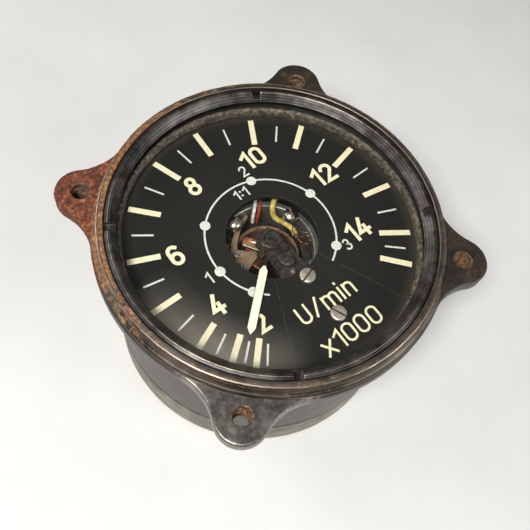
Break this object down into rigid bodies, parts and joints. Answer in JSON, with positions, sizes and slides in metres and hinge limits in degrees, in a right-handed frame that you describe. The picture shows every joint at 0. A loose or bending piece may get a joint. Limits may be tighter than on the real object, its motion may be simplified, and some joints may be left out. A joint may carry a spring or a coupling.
{
  "type": "engine tachometer indicator",
  "caption": "Round panel-mounting engine speed indicator with a four-eared flange, glass over a black dial, and one long-scale pointer driven by a moving coil.",
  "frame": {"origin": "centre of the rear rim's rest plane, on the instrument's axis", "axes": "+Z out through the glass, +Y to twelve o'clock on the dial, +X to three o'clock"},
  "size_m": [0.086, 0.086, 0.0539],
  "materials": {
    "case": "worn black stoving enamel over steel, rusting at the flange",
    "cover": "light grey, dull cast and turned",
    "ring": "satin black, bright at the notches",
    "window": "clear, lightly dusty",
    "gasket": "matt black",
    "spacer": "dusty brown-grey",
    "dial": "matt charcoal with cream and white printing",
    "nickel": "dull nickel",
    "steel": "bright steel",
    "dark_steel": "dark browned",
    "brass": "dull",
    "copper": "copper, enamelled",
    "bronze": "tan bronze",
    "aluminium": "plain",
    "lume": "cream luminous paint",
    "bakelite": "brown phenolic",
    "red_sleeve": "varnished cloth sleeve",
    "yellow_sleeve": "varnished cloth sleeve",
    "white_sleeve": "plain sleeve"
  },
  "bodies": {
    "case": {"case_body": "case", "rear_cover": "cover", "retaining_ring": "ring", "glass": "window", "cover_gasket": "gasket", "glass_gasket": "gasket", "spacer_ring": "spacer", "dial_plate": "dial", "dial_sector": "dial", "dial_screw_inner": "nickel", "dial_screw_outer": "nickel", "frame_pillar_right": "nickel", "frame_pillar_top": "nickel", "upper_jewel_screw": "nickel", "cover_screw_1": "steel", "cover_screw_2": "steel", "cover_screw_3": "steel", "chassis_screw_1": "steel", "chassis_screw_2": "steel", "chassis_screw_3": "steel", "bridge_screw_left": "steel", "bridge_screw_right": "steel", "base_plate": "dark_steel", "magnet": "dark_steel", "core_foot": "dark_steel", "upper_bridge": "dark_steel", "stud_screw": "dark_steel", "jewel_lock_nut": "dark_steel", "transformer_core": "dark_steel", "rectifier_stack": "dark_steel", "lead_coil": "dark_steel", "chassis_plate": "brass", "connector_pin_left": "brass", "connector_pin_right": "brass", "lower_jewel_screw": "brass", "upper_hairspring": "brass", "lower_hairspring": "brass", "core_ring": "copper", "transformer_coil": "copper", "pole_ring": "bronze", "core_bracket": "bronze", "connector_shell": "aluminium", "connector_nut": "aluminium", "frame_ring": "aluminium", "rectifier_bracket": "aluminium", "connector_insert": "bakelite", "resistor_spool": "bakelite", "terminal_strip": "bakelite", "feed_lead_red": "red_sleeve", "movement_lead_red": "red_sleeve", "feed_lead_yellow": "yellow_sleeve", "movement_lead_yellow": "yellow_sleeve", "movement_lead_white": "white_sleeve"},
    "pointer": {"rotor_shaft": "steel", "coil_former": "aluminium", "moving_coil": "copper", "pointer_arm": "dark_steel", "pointer_lume": "lume"},
    "zero_lever": {"zero_lever": "brass"}
  },
  "joints": [
    {"name": "pointer_turn", "type": "hinge", "parent": "case", "child": "pointer", "pos_m": [0, 0, 0.0335], "axis": [0, 0, -1], "range_deg": [-7.3, 272.7], "stiffness_Nm_per_rad": 0.00001},
    {"name": "zero_adjust", "type": "hinge", "parent": "case", "child": "zero_lever", "pos_m": [0, 0, 0.043], "axis": [0, 0, 1], "range_deg": [-10, 10]}
  ]
}
